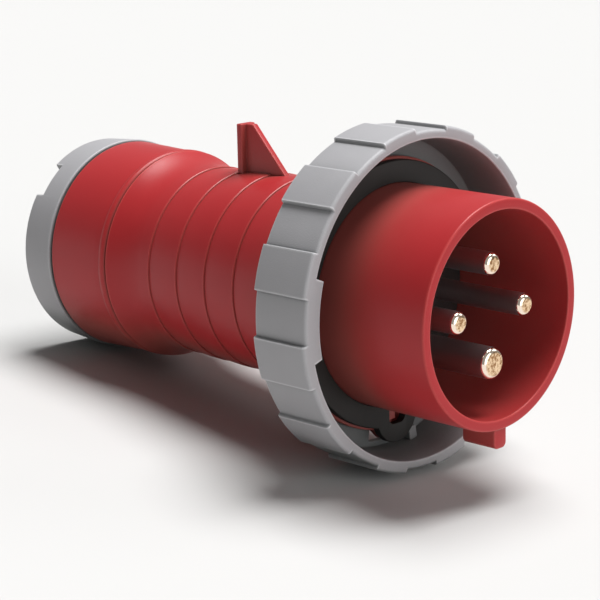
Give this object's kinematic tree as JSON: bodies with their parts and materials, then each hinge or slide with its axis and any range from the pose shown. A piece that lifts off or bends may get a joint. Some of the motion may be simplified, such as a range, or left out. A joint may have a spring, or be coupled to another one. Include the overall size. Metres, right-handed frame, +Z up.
{
  "type": "industrial pin and sleeve plug",
  "caption": "Watertight industrial plug: contact pins in a keyed round shroud, castellated bayonet locking ring, stepped grip with a fin, and a clamping cable gland nut.",
  "frame": {"origin": "centre of the underside of the bounding box, on the surface that the plug lies on", "axes": "+X towards the open mouth of the shroud, level with the ground; +Z up; the plug's own axis rises 7.7 degrees towards the mouth"},
  "size_m": [0.136, 0.076, 0.0771],
  "materials": {
    "red_plastic": "moulded plastic with a fine satin grain",
    "grey_plastic": "moulded plastic with a fine matt grain",
    "dark_plastic": "dark insulating plastic",
    "white_nylon": "natural nylon",
    "black_rubber": "smooth black rubber",
    "contact_brass": "turned and polished",
    "screw_steel": "zinc plated"
  },
  "bodies": {
    "housing": {"front_housing": "red_plastic", "handle": "red_plastic", "face_gasket": "black_rubber", "housing_seal": "black_rubber", "nut_seal": "black_rubber", "cable_seal_outer": "black_rubber", "cable_seal_core": "black_rubber", "contact_carrier": "dark_plastic", "carrier_back": "dark_plastic", "back_screw": "screw_steel", "carrier_screws": "screw_steel", "terminal_screws": "screw_steel", "phase_pin_1": "contact_brass", "phase_pin_2": "contact_brass", "phase_pin_3": "contact_brass", "earth_pin": "contact_brass", "thrust_washer": "white_nylon"},
    "locking_ring": {"locking_ring": "grey_plastic"},
    "gland_clamp": {"clamp_collet": "white_nylon"},
    "gland_nut": {"gland_nut": "grey_plastic"}
  },
  "joints": [
    {"name": "ring_turn", "type": "hinge", "parent": "housing", "child": "locking_ring", "pos_m": [0.03614, 0, 0.03858], "axis": [0.991, 0, 0.134], "range_deg": [0, 45]},
    {"name": "gland_travel", "type": "slide", "parent": "housing", "child": "gland_clamp", "axis": [-0.991, 0, -0.134], "range_m": [0, 0.003]},
    {"name": "gland_turn", "type": "hinge", "parent": "gland_clamp", "child": "gland_nut", "pos_m": [-0.05944, 0, 0.02566], "axis": [-0.991, 0, -0.134], "range_deg": [0, 360]}
  ],
  "couplings": [
    {"joint": "gland_travel", "follows": "gland_turn", "m_per_rad": 0.00047746}
  ]
}
